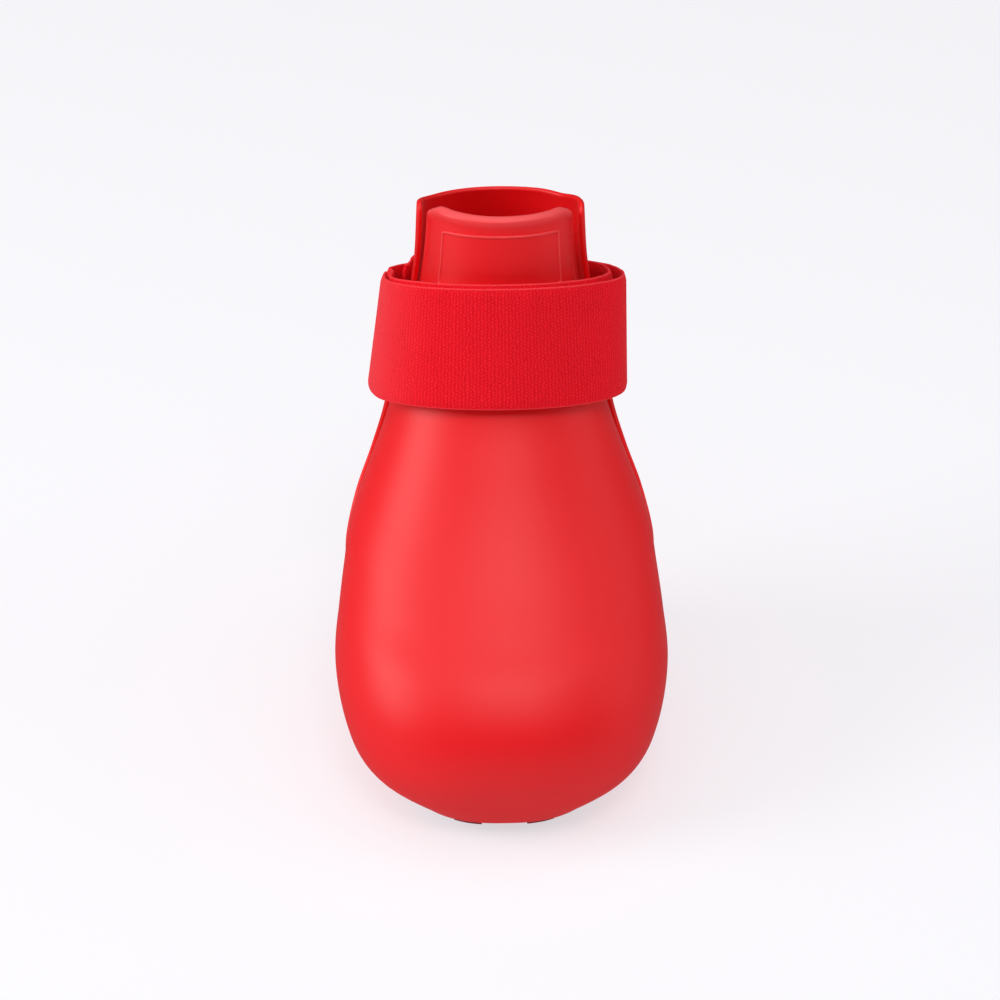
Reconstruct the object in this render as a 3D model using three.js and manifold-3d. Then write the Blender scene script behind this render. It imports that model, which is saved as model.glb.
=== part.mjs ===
// A rubber dog boot for one paw, standing empty on its sole, in millimetres.
// +Z is up and the toe points towards -Y. The origin is on the ground, under the middle of the boot.
//
// Four pieces: a moulded upper (toe box, vamp, low heel and front flap), a back panel that closes
// the shaft behind and runs down as the heel counter, a lugged outsole, and a woven strap wound
// nearly twice round the shaft.

import * as THREE from 'three';
import { mergeVertices } from 'three/addons/utils/BufferGeometryUtils.js';
import Module from 'manifold-3d';

// ---------------------------------------------------------------- driving dimensions

const WALL = 2.0;             // thickness of the upper's rubber
const PANEL_WALL = 1.2;       // thickness of the back panel's rubber
const PANEL_GAP = 0.55;       // space between the upper and the panel
const PANEL_SPLAY = 0.2;      // how much wider that space is on the right, and tighter on the left
const PANEL_OPENING = 0.85;   // extra stand-off of its right side above the strap
const PANEL_LOW_ROW = 0.45;   // the panel's lower edge, as a row of SECTIONS
const PANEL_EAR = 1.5;        // how far its front corners stand above the middle of its top edge
const PANEL_CORNER_SHARE = 0.05; // share of its width taken by each rounded corner
const PANEL_CORNER_DROP = 0.16;  // depth of that corner, in rows

const LUG_HEIGHT = 1.2;
const PLATE = 1.6;            // thickness of the outsole's plate, without its lugs
const PLATE_TOP = LUG_HEIGHT + PLATE;
const SOLE_INSET = 1.4;       // the plate's top stays this far inside the upper's rim
const SOLE_TUCK = 3.4;        // and its underside this far
const SOLE_CENTRE_Y = -2;     // the middle that the outline and the lugs are drawn about
const TOE_SPRING = 1.2;       // how far the sole lifts at the toe
const ARCH_RISE = 0.6;        // how far it lifts between forefoot and heel
const HEEL_SPRING = 0.4;      // how far it lifts behind the heel
const SPRING_HEIGHT = 20;     // the sole's lift has faded out of the upper at this height

const COLLAR_ROW = 12;        // the row of SECTIONS that lies at the collar
const HEEL_RIM_HEIGHT = 17;   // top of the upper behind, where the throat begins
const SCOOP = 0.1;            // dip in the middle of the flap's top edge
const FLAP_HALF = 14.7;       // half the flap's width at its top corners
const FLAP_CORNER = 2.6;      // radius of those corners

const MIDDLE_Y = 1.3;         // the last's own origin lies this far in front of the boot's middle

const AROUND = 60;            // facets round the boot
const PANEL_AROUND = 28;      // facets round the panel
const STEPS_PER_ROW = 2;      // facets up the boot between two rows of SECTIONS
const EDGE_STEPS = 7;         // facets along one rounded corner
const BEYOND = 60;            // cutters reach this far, past everything they cut

const RUBBER_RED = '#e8363c';
const PANEL_RED = '#d61f2a';
const WEBBING_RED = '#e21f30';

// The outer form of the upper, one row for each section from the sole to above the collar. A
// section lies in the sloping plane through its front and back points. half is its half width,
// widest is where that width lies between front and back, and a higher bluntness is boxier.
// throat and panel are angles round the boot from the middle of the front, in degrees: where the
// upper ends behind, and where the back panel begins.
const SECTION_COLUMNS = ['frontY', 'frontZ', 'backY', 'backZ', 'half', 'widest',
  'bluntFront', 'bluntBack', 'throat', 'panel'];
const SECTIONS = named(SECTION_COLUMNS, [
  [-38.0, 3.1, 36.0, 3.1, 21.9, 0.44, 2.60, 2.20, 180, 141],
  [-41.6, 9.0, 40.0, 9.0, 29.6, 0.43, 2.55, 2.15, 180, 140],
  [-44.0, 17.0, 41.8, 16.0, 32.4, 0.42, 2.50, 2.10, 175, 135],
  [-42.3, 26.0, 42.0, 23.5, 33.7, 0.42, 2.30, 2.10, 167, 125],
  [-36.5, 34.0, 41.6, 30.5, 32.9, 0.42, 2.20, 2.05, 159, 113.5],
  [-28.0, 40.6, 41.0, 38.0, 31.8, 0.43, 2.10, 2.00, 152, 108.5],
  [-19.5, 47.4, 40.5, 45.5, 30.45, 0.44, 2.10, 2.00, 145, 112.5],
  [-11.5, 55.2, 40.2, 53.5, 27.3, 0.45, 2.10, 2.00, 136, 113.5],
  [-4.0, 63.8, 40.1, 62.0, 23.7, 0.46, 2.10, 2.00, 126, 109.5],
  [3.4, 73.6, 40.3, 71.0, 20.5, 0.47, 2.10, 2.00, 114, 100],
  [9.2, 85.0, 40.7, 81.5, 17.5, 0.48, 2.10, 2.00, 102, 91],
  [13.6, 97.4, 41.2, 93.2, 15.3, 0.49, 2.10, 2.00, 93, 86],
  [17.0, 110.3, 41.6, 105.0, 14.5, 0.50, 2.10, 2.00, 88, 82],
  [20.2, 124.0, 41.9, 117.0, 13.6, 0.50, 2.10, 2.00, 86, 80],
]);

// Lugs under the outsole, in mirrored pairs. Each is a short arc along the outline: centre and
// span are angles in degrees, and inner and outer are shares of the outline's size.
const LUGS = named(['centre', 'span', 'inner', 'outer'], [
  [16.6, 16.8, 0.80, 0.90],
  [42, 18, 0.80, 0.90],
  [66, 18, 0.80, 0.90],
  [30, 24, 0.52, 0.64],
  [66, 24, 0.52, 0.64],
  [40, 50, 0.22, 0.36],
  [132, 18, 0.80, 0.90],
  [158, 20, 0.80, 0.90],
  [145, 30, 0.52, 0.66],
]);

// The strap, a band of webbing wound inwards from its free end at the left.
const STRAP_HEIGHT = 24.2;
const STRAP_THICK = 1.1;
const STRAP_TILT = THREE.MathUtils.degToRad(18);     // the band leans back with the shaft
const STRAP_FRONT = new THREE.Vector3(0, 1.2, 75.8); // lower edge of the band, in front
const STRAP_DEPTH_BOTTOM = 45.9;
const STRAP_DEPTH_TOP = 37.9;
const STRAP_WIDEST = 0.45;
const STRAP_BLUNT_FRONT = 2.05;
const STRAP_BLUNT_BACK = 2.45;
const STRAP_STEP = 7.5;       // degrees to a facet

// The band's middle line, one row for each stage of the winding. angle runs on from turn to turn,
// the halves are its half widths at the two edges, and inset is its distance inside the outer turn.
const WINDING = named(['angle', 'halfTop', 'halfBottom', 'inset'], [
  [-100, 22.7, 26.2, 0],
  [0, 24.2, 25.9, 0],
  [90, 25.2, 25.7, 0],
  [180, 24.2, 25.8, 0],
  [243, 23.5, 26.1, 0.6],
  [260, 21.4, 24.85, 1.2],
  [360, 22.2, 24.4, 1.5],
  [450, 22.4, 24.45, 1.5],
  [540, 22.0, 24.3, 1.55],
  [612, 19.3, 23.3, 1.7],
]);

// ---------------------------------------------------------------- small tools

function named(columns, rows) {
  return rows.map(row => Object.fromEntries(columns.map((column, k) => [column, row[k]])));
}

function smooth(from, to, value) {
  const t = THREE.MathUtils.clamp((value - from) / (to - from), 0, 1);
  return t * t * (3 - 2 * t);
}

function power(value, exponent) {
  return Math.sign(value) * Math.pow(Math.abs(value), exponent);
}

// Reads a table of sections at a fractional row, with a Catmull-Rom curve through each column.
function sectionAt(row) {
  const last = SECTIONS.length - 1;
  const k = THREE.MathUtils.clamp(Math.floor(row), 0, last - 1);
  const t = row - k;
  const near = [k - 1, k, k + 1, k + 2].map(i => SECTIONS[THREE.MathUtils.clamp(i, 0, last)]);
  const curve = (a, b, c, d) => 0.5 * (2 * b + (c - a) * t + (2 * a - 5 * b + 4 * c - d) * t * t
    + (3 * b - a - 3 * c + d) * t * t * t);
  return Object.fromEntries(SECTION_COLUMNS.map(column => [column, curve(...near.map(s => s[column]))]));
}

// Reads one column of the winding at an angle, with a smooth step from each row to the next.
function windingAt(column, angle) {
  const next = Math.max(1, WINDING.findIndex((row, k) => k > 0 && angle <= row.angle));
  const [before, after] = [WINDING[next - 1], WINDING[next]];
  return THREE.MathUtils.lerp(before[column], after[column], smooth(before.angle, after.angle, angle));
}

// One section as a closed oval with a front and a back half of different depth and bluntness.
// The result is its side distance and its share of the way from front to back.
function oval(angle, widest, bluntFront, bluntBack) {
  const blunt = Math.cos(angle) > 0 ? bluntFront : bluntBack;
  const reach = Math.pow(Math.abs(Math.cos(angle)), 2 / blunt);
  const share = Math.cos(angle) > 0 ? widest * (1 - reach) : widest + (1 - widest) * reach;
  return { side: power(Math.sin(angle), 2 / blunt), share };
}

// How far the sole is lifted off the ground at one place along the boot.
function lift(y) {
  const toe = TOE_SPRING * smooth(-20, -44, y);
  const arch = ARCH_RISE * smooth(-6, 8, y) * smooth(22, 8, y);
  const heel = HEEL_SPRING * smooth(30, 42, y);
  return toe + arch + heel;
}

// ---------------------------------------------------------------- the last

// A point on the outer form of the upper, at a row of SECTIONS and an angle from the front.
function form(row, angle) {
  const s = sectionAt(row);
  const { side, share } = oval(angle, s.widest, s.bluntFront, s.bluntBack);
  const y = THREE.MathUtils.lerp(s.frontY, s.backY, share);
  const z = THREE.MathUtils.lerp(s.frontZ, s.backZ, share);
  const fade = smooth(SPRING_HEIGHT, SECTIONS[0].frontZ, z);
  return new THREE.Vector3(s.half * side, y, z + lift(y) * fade);
}

// The same point moved square to the surface, outwards where distance is positive.
function skin(row, angle, distance) {
  const d = 0.01;
  const up = form(row + d, angle).sub(form(row - d, angle));
  const round = form(row, angle + d).sub(form(row, angle - d));
  return form(row, angle).addScaledVector(round.cross(up).normalize(), distance);
}

function ringAt(row, distance) {
  return Array.from({ length: AROUND }, (_, k) => skin(row, (2 * Math.PI * k) / AROUND, distance));
}

// ---------------------------------------------------------------- closed meshes and booleans

function meshGeometry(points, faces) {
  const geometry = new THREE.BufferGeometry();
  geometry.setAttribute('position', new THREE.Float32BufferAttribute(points.flatMap(p => p.toArray()), 3));
  geometry.setIndex(faces.flat());
  return geometry;
}

// Rings of equal length joined side to side, with the first and the last closed by a fan.
// The rings run anticlockwise seen from above and are listed upwards.
function loft(rings) {
  const n = rings[0].length;
  const middle = ring => ring.reduce((sum, p) => sum.add(p), new THREE.Vector3()).divideScalar(n);
  const points = [...rings.flat(), middle(rings[0]), middle(rings.at(-1))];
  const low = rings.length * n;
  const high = low + 1;
  const top = (rings.length - 1) * n;
  const faces = [];
  for (let k = 0; k < n; k++) {
    const j = (k + 1) % n;
    faces.push([low, j, k], [high, top + k, top + j]);
    for (let r = 0; r < rings.length - 1; r++) {
      const a = r * n + k;
      const b = r * n + j;
      faces.push([a, b, b + n], [a, b + n, a + n]);
    }
  }
  return meshGeometry(points, faces);
}

const wasm = await Module();
wasm.setup();

function solid(geometry) {
  const bare = geometry.clone();
  bare.deleteAttribute('normal');
  bare.deleteAttribute('uv');
  const merged = mergeVertices(bare, 1e-5);
  const triVerts = Uint32Array.from(merged.index.array);
  const vertProperties = Float32Array.from(merged.attributes.position.array);
  return new wasm.Manifold(new wasm.Mesh({ numProp: 3, vertProperties, triVerts }));
}

function geometryOf(body) {
  const { vertProperties, triVerts } = body.getMesh();
  const geometry = new THREE.BufferGeometry();
  geometry.setAttribute('position', new THREE.BufferAttribute(vertProperties, 3));
  geometry.setIndex(new THREE.BufferAttribute(triVerts, 1));
  return geometry;
}

// A flat outline pushed straight through the boot, centred on its middle plane. An outline for
// axis x is drawn in y and z, and one for axis y is drawn in x and z.
function through(outline, axis, halfDepth) {
  const geometry = new THREE.ExtrudeGeometry(new THREE.Shape(outline.map(p => new THREE.Vector2(...p))), {
    depth: 2 * halfDepth,
    bevelEnabled: false,
  });
  geometry.translate(0, 0, -halfDepth);
  const turned = {
    x: [new THREE.Vector3(0, 1, 0), new THREE.Vector3(0, 0, 1), new THREE.Vector3(1, 0, 0)],
    y: [new THREE.Vector3(1, 0, 0), new THREE.Vector3(0, 0, 1), new THREE.Vector3(0, -1, 0)],
  };
  return geometry.applyMatrix4(new THREE.Matrix4().makeBasis(...turned[axis]));
}

// ---------------------------------------------------------------- upper

const radians = THREE.MathUtils.degToRad;
const rowsUpTo = (first, last) => {
  const count = Math.round((last - first) * STEPS_PER_ROW);
  return Array.from({ length: count + 1 }, (_, k) => first + ((last - first) * k) / count);
};

// Everything above and behind the throat line, which starts at the heel rim and climbs forwards.
function throatCutter() {
  const top = SECTIONS.at(-1).frontZ;
  const rising = rowsUpTo(1.5, SECTIONS.length - 1)
    .map(row => form(row, radians(sectionAt(row).throat)))
    .filter(p => p.z > HEEL_RIM_HEIGHT)
    .map(p => [p.y, p.z]);
  const heelRim = [[BEYOND, HEEL_RIM_HEIGHT], [rising[0][0], HEEL_RIM_HEIGHT]];
  return through([...heelRim, ...rising, [BEYOND, top]], 'x', BEYOND);
}

// Everything above the flap's top edge, which dips in the middle and has rounded corners. The
// cutter leans back with the collar.
function collarCutter() {
  const collar = SECTIONS[COLLAR_ROW];
  const slope = (collar.backZ - collar.frontZ) / (collar.backY - collar.frontY);
  const straight = FLAP_HALF - FLAP_CORNER;
  const high = collar.frontZ;
  const half = [[0, collar.frontZ - SCOOP], [straight * 0.5, collar.frontZ - SCOOP * 0.7], [straight, high]];
  for (let k = 1; k <= EDGE_STEPS; k++) {
    const turn = (0.5 * Math.PI * k) / EDGE_STEPS;
    half.push([straight + FLAP_CORNER * Math.sin(turn), high - FLAP_CORNER * (1 - Math.cos(turn))]);
  }
  half.push([BEYOND, half.at(-1)[1]]);
  const mirrored = half.slice(1).reverse().map(([x, z]) => [-x, z]);
  const outline = [...mirrored, ...half, [BEYOND, collar.frontZ + BEYOND], [-BEYOND, collar.frontZ + BEYOND]];
  const cutter = through(outline, 'y', BEYOND);
  return cutter.applyMatrix4(new THREE.Matrix4().set(
    1, 0, 0, 0,
    0, 1, 0, 0,
    0, slope, 1, -slope * collar.frontY,
    0, 0, 0, 1,
  ));
}

function upperGeometry() {
  const rows = rowsUpTo(0, COLLAR_ROW + 1);
  const outside = loft(rows.map(row => ringAt(row, 0)));
  const lining = rows.map(row => ringAt(row, -WALL));
  const below = lining[0].map(p => p.clone().setZ(-LUG_HEIGHT));
  const above = lining.at(-1).map(p => p.clone().add(new THREE.Vector3(0, 0, WALL)));
  const inside = loft([below, ...lining, above]);
  return geometryOf(solid(outside)
    .subtract(solid(inside))
    .subtract(solid(throatCutter()))
    .subtract(solid(collarCutter())));
}

// ---------------------------------------------------------------- back panel

// The panel is a sheet with two sides: its grid runs from the front edge on the right, round the
// back, to the front edge on the left.
function panelGeometry() {
  const rows = rowsUpTo(PANEL_LOW_ROW, COLLAR_ROW);
  const point = (r, k, outer) => {
    const share = k / PANEL_AROUND;
    const fromCorner = Math.min(share, 1 - share) / PANEL_CORNER_SHARE;
    const corner = fromCorner < 1 ? PANEL_CORNER_DROP * (1 - Math.sqrt(1 - (1 - fromCorner) ** 2)) : 0;
    const climb = (rows[r] - PANEL_LOW_ROW) / (COLLAR_ROW - PANEL_LOW_ROW);
    const row = rows[r] - corner * climb ** 4;
    const edge = radians(sectionAt(row).panel);
    const angle = THREE.MathUtils.lerp(edge, 2 * Math.PI - edge, share);
    const open = PANEL_OPENING * smooth(8, 10.5, row) * Math.max(0, Math.sin(angle)) ** 2;
    const gap = PANEL_GAP + PANEL_SPLAY * Math.sin(angle) + open;
    const p = skin(row, angle, outer ? gap + PANEL_WALL : gap);
    p.z += PANEL_EAR * climb ** 6 * smooth(0.25, 0, Math.min(share, 1 - share));
    return p;
  };
  const columns = PANEL_AROUND + 1;
  const grid = outer => rows.flatMap((_, r) => Array.from({ length: columns }, (_, k) => point(r, k, outer)));
  const points = [...grid(true), ...grid(false)];
  const inner = rows.length * columns;
  const faces = [];
  const quad = (a, b, c, d) => faces.push([a, b, c], [a, c, d]);
  const at = (r, k) => r * columns + k;
  for (let r = 0; r < rows.length - 1; r++) {
    for (let k = 0; k < PANEL_AROUND; k++) {
      quad(at(r, k), at(r, k + 1), at(r + 1, k + 1), at(r + 1, k));
      quad(inner + at(r, k), inner + at(r + 1, k), inner + at(r + 1, k + 1), inner + at(r, k + 1));
    }
    quad(at(r, 0), at(r + 1, 0), inner + at(r + 1, 0), inner + at(r, 0));
    quad(at(r, PANEL_AROUND), inner + at(r, PANEL_AROUND), inner + at(r + 1, PANEL_AROUND),
      at(r + 1, PANEL_AROUND));
  }
  const top = rows.length - 1;
  for (let k = 0; k < PANEL_AROUND; k++) {
    quad(at(0, k), inner + at(0, k), inner + at(0, k + 1), at(0, k + 1));
    quad(at(top, k), at(top, k + 1), inner + at(top, k + 1), inner + at(top, k));
  }
  return meshGeometry(points, faces);
}

// ---------------------------------------------------------------- outsole

// A point at a share of the sole's outline, inset from it, at a height above the lifted ground.
function solePoint(angle, share, inset, height) {
  const rim = form(0, angle);
  const out = new THREE.Vector3(rim.x, rim.y - SOLE_CENTRE_Y, 0);
  out.setLength(share * (out.length() - inset));
  const y = SOLE_CENTRE_Y + out.y;
  return new THREE.Vector3(out.x, y, height + lift(y));
}

function plateGeometry() {
  const ring = (share, inset, height) =>
    Array.from({ length: AROUND }, (_, k) => solePoint((2 * Math.PI * k) / AROUND, share, inset, height));
  const shares = [0.25, 0.5, 0.75, 1];
  const bulge = ring(1, SOLE_INSET + (SOLE_TUCK - SOLE_INSET) / 3, LUG_HEIGHT + PLATE / 2);
  return loft([
    ...shares.map(share => ring(share, SOLE_TUCK, LUG_HEIGHT)),
    bulge,
    ...shares.reverse().map(share => ring(share, SOLE_INSET, PLATE_TOP)),
  ]);
}

function lugGeometry(lug, side) {
  const steps = Math.max(3, Math.round(lug.span / 5));
  const sunk = LUG_HEIGHT + 0.5 * PLATE;
  const sections = Array.from({ length: steps + 1 }, (_, k) => {
    const angle = side * radians(lug.centre + lug.span * (k / steps - 0.5) * side);
    const corners = [[lug.inner, sunk], [lug.outer, sunk], [lug.outer, 0], [lug.inner, 0]];
    return corners.map(([share, height]) => solePoint(angle, share, 0, height));
  });
  return loft(sections);
}

function outsoleGeometry() {
  let body = solid(plateGeometry());
  for (const lug of LUGS) {
    for (const side of [1, -1]) body = body.add(solid(lugGeometry(lug, side)));
  }
  return geometryOf(body);
}

// ---------------------------------------------------------------- strap

// A point on the band: along the winding by angle, across it from 0 at the lower edge to 1 at the
// upper edge, and through it by a distance outwards from its middle line.
function strapPoint(degrees, across, out) {
  const half = THREE.MathUtils.lerp(windingAt('halfBottom', degrees), windingAt('halfTop', degrees), across);
  const depth = THREE.MathUtils.lerp(STRAP_DEPTH_BOTTOM, STRAP_DEPTH_TOP, across);
  const { side, share } = oval(radians(degrees), STRAP_WIDEST, STRAP_BLUNT_FRONT,
    STRAP_BLUNT_BACK);
  const inset = windingAt('inset', degrees);
  const front = inset - out;
  const back = depth - inset + out;
  const x = (half + out) * side;
  const deep = STRAP_THICK / 2 + THREE.MathUtils.lerp(front, back, share);
  const alongBand = new THREE.Vector3(0, Math.sin(STRAP_TILT), Math.cos(STRAP_TILT));
  const backwards = new THREE.Vector3(0, Math.cos(STRAP_TILT), -Math.sin(STRAP_TILT));
  return new THREE.Vector3(x, 0, 0)
    .add(STRAP_FRONT)
    .addScaledVector(alongBand, across * STRAP_HEIGHT)
    .addScaledVector(backwards, deep);
}

function strapGeometry() {
  const first = WINDING[0].angle;
  const steps = Math.round((WINDING.at(-1).angle - first) / STRAP_STEP);
  const half = STRAP_THICK / 2;
  const sections = Array.from({ length: steps + 1 }, (_, k) => {
    const degrees = first + ((WINDING.at(-1).angle - first) * k) / steps;
    return [[0, -half], [1, -half], [1, half], [0, half]].map(([a, out]) => strapPoint(degrees, a, out));
  });
  return loft(sections);
}

// ---------------------------------------------------------------- the boot

function piece(name, geometry, color, roughness) {
  geometry.computeVertexNormals();
  const mesh = new THREE.Mesh(geometry, new THREE.MeshStandardMaterial({ color, roughness, metalness: 0 }));
  mesh.name = name;
  return mesh;
}

const group = new THREE.Group();
group.position.set(0, -MIDDLE_Y, 0);
group.add(piece('upper', upperGeometry(), RUBBER_RED, 0.45));
group.add(piece('back_panel', panelGeometry(), PANEL_RED, 0.5));
group.add(piece('outsole', outsoleGeometry(), RUBBER_RED, 0.55));
group.add(piece('strap', strapGeometry(), WEBBING_RED, 0.85));

export default group;
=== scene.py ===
# %% [markdown]
# # A moulded rubber dog boot
#
# The boot is four pieces: a soft rubber upper with a bulb for the paw and a flap in front of the
# leg, a thinner rubber panel that closes the shaft behind, a lugged outsole, and a woven strap
# that is wound nearly twice round the shaft. It stands empty on its sole.
#
# Every surface here is worked out as an array: one function gives a point of the boot's form for
# a height and an angle, and each piece is a grid of such points. Sizes are in millimetres and are
# turned to metres only when a mesh is made.

# %% The frame and the tools
import math

import bmesh
import bpy
import numpy as np
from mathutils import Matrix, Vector


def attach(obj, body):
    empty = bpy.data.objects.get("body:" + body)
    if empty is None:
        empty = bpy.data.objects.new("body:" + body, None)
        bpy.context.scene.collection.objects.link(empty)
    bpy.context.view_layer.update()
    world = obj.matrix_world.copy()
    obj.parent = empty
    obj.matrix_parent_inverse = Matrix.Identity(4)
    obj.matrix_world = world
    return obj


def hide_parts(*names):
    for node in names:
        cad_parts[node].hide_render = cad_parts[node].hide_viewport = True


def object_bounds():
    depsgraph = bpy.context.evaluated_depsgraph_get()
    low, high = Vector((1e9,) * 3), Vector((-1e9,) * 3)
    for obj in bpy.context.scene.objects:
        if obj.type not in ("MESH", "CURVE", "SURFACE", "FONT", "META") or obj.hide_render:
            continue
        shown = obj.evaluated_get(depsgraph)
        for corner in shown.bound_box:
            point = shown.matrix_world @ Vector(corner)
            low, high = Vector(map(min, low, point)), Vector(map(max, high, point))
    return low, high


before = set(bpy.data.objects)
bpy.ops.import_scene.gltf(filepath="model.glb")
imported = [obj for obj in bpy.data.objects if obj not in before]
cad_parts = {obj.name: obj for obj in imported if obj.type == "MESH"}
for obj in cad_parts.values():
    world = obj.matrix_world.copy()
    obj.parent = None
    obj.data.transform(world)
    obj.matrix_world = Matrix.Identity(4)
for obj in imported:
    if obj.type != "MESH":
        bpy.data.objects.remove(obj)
cad_low, cad_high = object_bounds()
boot_height = cad_high[2] - cad_low[2]
print("the boot's box in metres:", [round(v, 4) for v in (*cad_low, *cad_high)])

# %% [markdown]
# ## The last
#
# A last is the solid foot that a boot is made over. Here it is a table with one row for each
# section, from the sole to just above the collar. A section lies in a sloping plane through its
# front and back points. A smooth curve through each column gives every height in between, which
# is how a shipwright lofts a hull from a few frames.

# %% The table of sections
COLUMNS = ["front_y", "front_z", "back_y", "back_z", "half", "widest",
           "blunt_front", "blunt_back", "throat", "panel"]
SECTIONS = np.array([
    [-38.0, 3.1, 36.0, 3.1, 21.9, 0.44, 2.60, 2.20, 180, 141],
    [-41.6, 9.0, 40.0, 9.0, 29.6, 0.43, 2.55, 2.15, 180, 140],
    [-44.0, 17.0, 41.8, 16.0, 32.4, 0.42, 2.50, 2.10, 180, 135],
    [-42.3, 26.0, 42.0, 23.5, 33.7, 0.42, 2.30, 2.10, 167, 125],
    [-36.5, 34.0, 41.6, 30.5, 32.9, 0.42, 2.20, 2.05, 159, 113.5],
    [-28.0, 40.6, 41.0, 38.0, 31.8, 0.43, 2.10, 2.00, 152, 108.5],
    [-19.5, 47.4, 40.5, 45.5, 30.45, 0.44, 2.10, 2.00, 145, 112.5],
    [-11.5, 55.2, 40.2, 53.5, 27.3, 0.45, 2.10, 2.00, 136, 113.5],
    [-4.0, 63.8, 40.1, 62.0, 23.7, 0.46, 2.10, 2.00, 126, 109.5],
    [3.4, 73.6, 40.3, 71.0, 20.5, 0.47, 2.10, 2.00, 114, 100],
    [9.2, 85.0, 40.7, 81.5, 17.5, 0.48, 2.10, 2.00, 102, 91],
    [13.6, 97.4, 41.2, 93.2, 15.3, 0.49, 2.10, 2.00, 93, 86],
    [17.0, 110.3, 41.6, 105.0, 14.5, 0.50, 2.10, 2.00, 88, 82],
    [20.2, 124.0, 41.9, 117.0, 13.6, 0.50, 2.10, 2.00, 86, 80],
])
COLLAR_ROW = 12
MIDDLE_Y = 1.3       # the table's own origin lies this far in front of the boot's middle
TOE_SPRING = 1.2     # how far the sole lifts at the toe, in mm
ARCH_RISE = 0.6      # at the arch
HEEL_SPRING = 0.4    # and at the heel
TOE_Y = (-20, -44)   # where the toe's lift starts, and where it is full
ARCH_Y = (-6, 8, 22) # where the arch starts, is highest, and ends
HEEL_Y = (30, 42)
SPRING_HEIGHT = 20   # the sole's lift has faded out of the upper at this height


def smooth(start, end, value):
    """A step from 0 at start to 1 at end, level at both: 3t squared less 2t cubed."""
    t = np.clip((value - start) / (end - start), 0, 1)
    return t * t * (3 - 2 * t)


def section(row):
    """Every column at a fractional row, by a Catmull-Rom curve through the four nearest rows."""
    last = len(SECTIONS) - 1
    k = np.clip(np.floor(row).astype(int), 0, last - 1)
    t = (row - k)[..., None]
    a, b, c, d = (SECTIONS[np.clip(k + step, 0, last)] for step in (-1, 0, 1, 2))
    curve = 0.5 * (2 * b + (c - a) * t + (2 * a - 5 * b + 4 * c - d) * t**2
                   + (3 * b - a - 3 * c + d) * t**3)
    return dict(zip(COLUMNS, np.moveaxis(curve, -1, 0)))


def lift(y):
    """How far the sole is off the ground: a rise at the toe, one at the arch, one at the heel."""
    front, top, back = ARCH_Y
    toe = TOE_SPRING * smooth(*TOE_Y, y)
    arch = ARCH_RISE * smooth(front, top, y) * smooth(back, top, y)
    return toe + arch + HEEL_SPRING * smooth(*HEEL_Y, y)


print("sections:", len(SECTIONS), "with", len(COLUMNS), "columns")

# %% [markdown]
# ## From the table to a surface
#
# A section is an oval with two halves: the cosine of the angle, raised to a power, says how far a
# point lies from the widest place towards the front or the back, and the sine says how far it
# lies to the side. A power of 1 is an ellipse, and a lower one is boxier. A second function moves
# a point square to the surface, which gives a wall the same thickness everywhere.

# %% Points on the last


def oval(angle, widest, blunt_front, blunt_back):
    """Side distance = sine to the power 2/bluntness. Share from front to back = the widest place,
    less or plus its own share of cosine to the power 2/bluntness."""
    c, s = np.cos(angle), np.sin(angle)
    blunt = np.where(c > 0, blunt_front, blunt_back)
    reach = np.abs(c) ** (2 / blunt)
    share = np.where(c > 0, widest * (1 - reach), widest + (1 - widest) * reach)
    return np.sign(s) * np.abs(s) ** (2 / blunt), share


def form(row, angle):
    """The last's point at a row and an angle: along the section's plane by the oval's share, out
    by half its width, and up by the sole's lift near the ground."""
    row, angle = np.broadcast_arrays(np.asarray(row, float), np.asarray(angle, float))
    s = section(row)
    side, share = oval(angle, s["widest"], s["blunt_front"], s["blunt_back"])
    y = s["front_y"] + (s["back_y"] - s["front_y"]) * share
    z = s["front_z"] + (s["back_z"] - s["front_z"]) * share
    z = z + lift(y) * smooth(SPRING_HEIGHT, SECTIONS[0, 1], z)
    return np.stack([s["half"] * side, y - MIDDLE_Y, z], axis=-1)


def skin(row, angle, distance):
    """The last's point moved along the surface's normal, which is the cross product of the step
    round the boot and the step up it."""
    d = 0.01
    upwards = form(row + d, angle) - form(row - d, angle)
    around = form(row, angle + d) - form(row, angle - d)
    normal = np.cross(around, upwards)
    normal /= np.linalg.norm(normal, axis=-1, keepdims=True)
    return form(row, angle) + normal * np.asarray(distance, float)[..., None]


toe_tip = form(2.0, 0.0)
print("toe tip in mm:", np.round(toe_tip, 1))

# %% [markdown]
# ## Meshes from grids
#
# A grid of points becomes a mesh of four-sided faces. Points that fall on each other, at a seam
# or a rolled edge, are merged, so that each piece is one closed skin.

# %% Grids, meshes and pieces
MM = 0.001
MERGE = 2e-6         # metres


def grid_faces(rows, columns, start=0, flip=False):
    """Quads between neighbouring points of a grid that is stored row by row."""
    r, c = np.meshgrid(np.arange(rows - 1), np.arange(columns - 1), indexing="ij")
    a = (start + r * columns + c).ravel()
    corners = [a, a + 1, a + 1 + columns, a + columns]
    return np.stack(corners[::-1] if flip else corners, axis=-1)


def new_piece(name, points, faces, material, replaces=()):
    """A smooth-shaded mesh object that rides on the boot's one body. Points are in mm."""
    mesh = bpy.data.meshes.new(name)
    mesh.from_pydata((np.reshape(points, (-1, 3)) * MM).tolist(), [], faces.tolist())
    mesh.shade_smooth()
    mesh.materials.append(material)
    piece = bpy.data.objects.new(name, mesh)
    bpy.context.scene.collection.objects.link(piece)
    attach(piece, "root")
    if replaces:
        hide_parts(*replaces)
    return piece


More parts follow.
